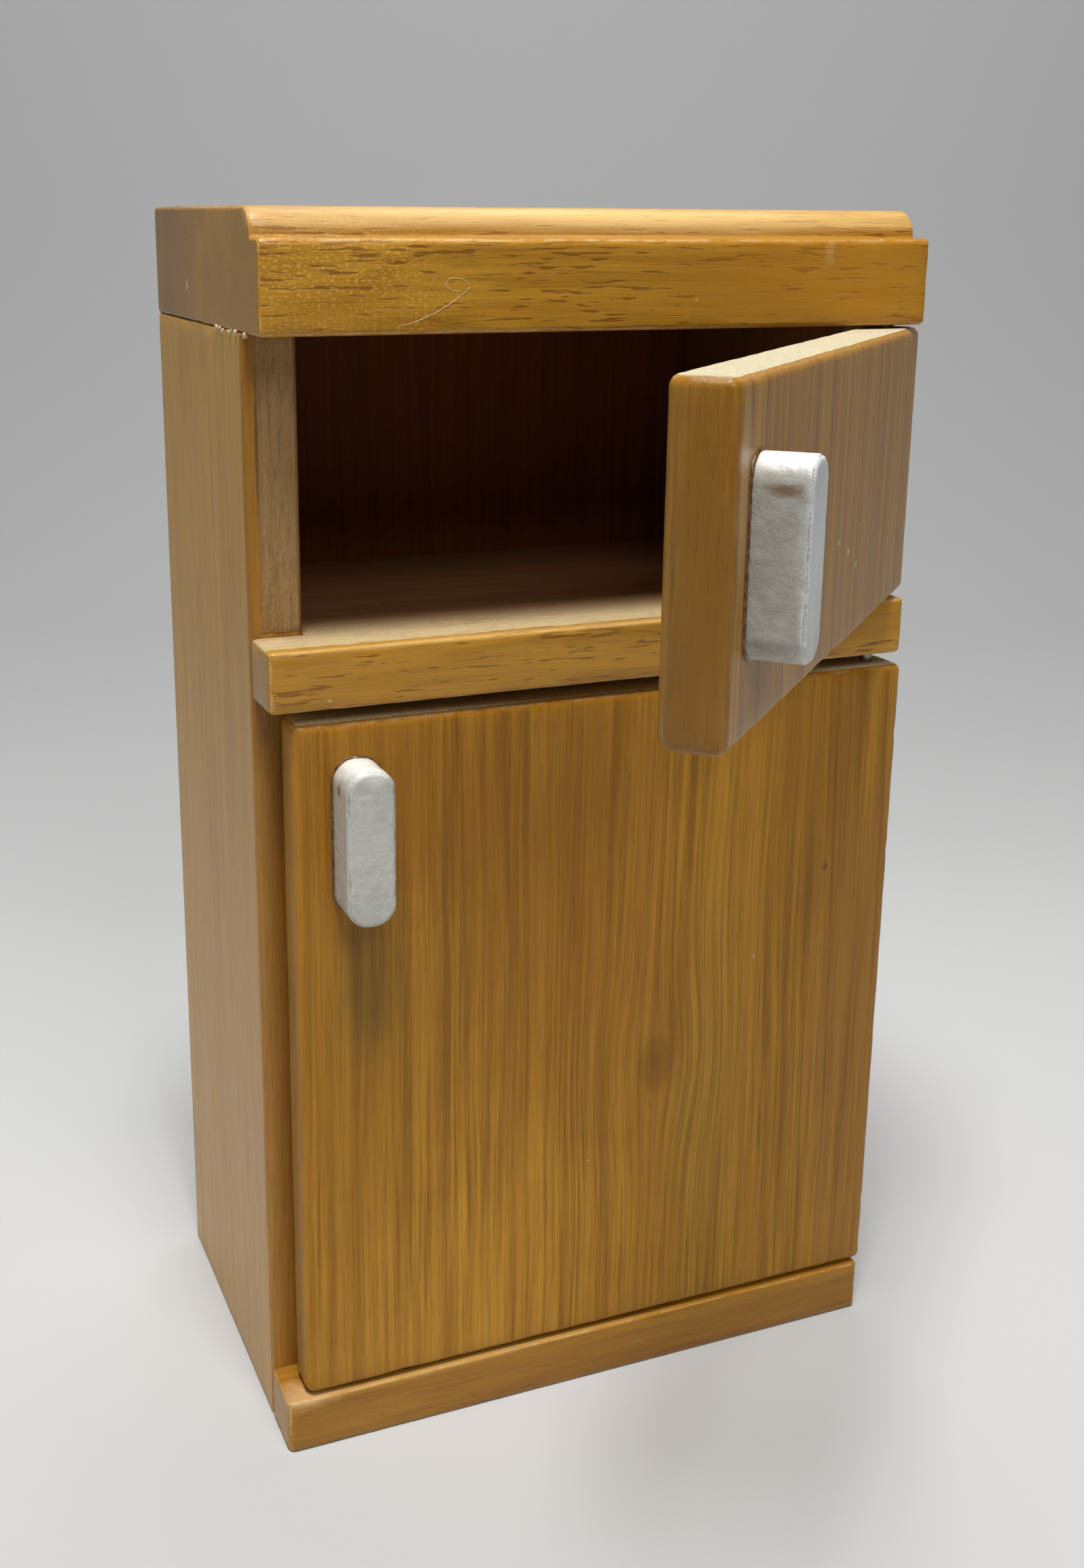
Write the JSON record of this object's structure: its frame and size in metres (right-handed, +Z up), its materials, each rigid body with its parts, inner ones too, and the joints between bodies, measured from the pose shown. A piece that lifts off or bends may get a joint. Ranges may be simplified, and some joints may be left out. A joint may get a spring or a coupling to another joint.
{
  "type": "miniature two-door cupboard",
  "caption": "Miniature wooden cupboard with a moulded top board, a short upper door over a tall lower door, both side hung on pivot pins, and round-ended block handles.",
  "frame": {"origin": "middle of the cabinet's footprint, on the surface it stands on", "axes": "+Z up, the front faces -Y, +X to the right seen from the front"},
  "size_m": [0.0817, 0.1015, 0.145],
  "materials": {
    "lacquered_wood": "honey lacquer, satin",
    "door_wood": "honey lacquer, satin",
    "back_plywood": "dark stained plywood",
    "white_paint": "white painted wood, worn",
    "dowel_wood": "raw hardwood",
    "steel_wire": "plain bright wire"
  },
  "bodies": {
    "cabinet": {"top_board": "lacquered_wood", "left_side_panel": "lacquered_wood", "right_side_panel": "lacquered_wood", "divider_shelf": "lacquered_wood", "base_board": "lacquered_wood", "back_panel": "back_plywood", "top_board_dowels": "dowel_wood", "shelf_dowels": "dowel_wood", "base_dowels": "dowel_wood", "back_panel_pins": "steel_wire"},
    "upper_door_leaf": {"upper_door": "door_wood", "upper_handle": "white_paint", "upper_door_top_pin": "steel_wire", "upper_door_bottom_pin": "steel_wire"},
    "lower_door_leaf": {"lower_door": "door_wood", "lower_handle": "white_paint", "lower_door_top_pin": "steel_wire", "lower_door_bottom_pin": "steel_wire"}
  },
  "joints": [
    {"name": "upper_door_hinge", "type": "hinge", "parent": "cabinet", "child": "upper_door_leaf", "pos_m": [0.0374, -0.0213, 0.1], "axis": [0, 0, 1], "range_deg": [-44, 61]},
    {"name": "lower_door_hinge", "type": "hinge", "parent": "cabinet", "child": "lower_door_leaf", "pos_m": [0.0374, -0.0213, 0.05], "axis": [0, 0, 1], "range_deg": [0, 105]}
  ]
}
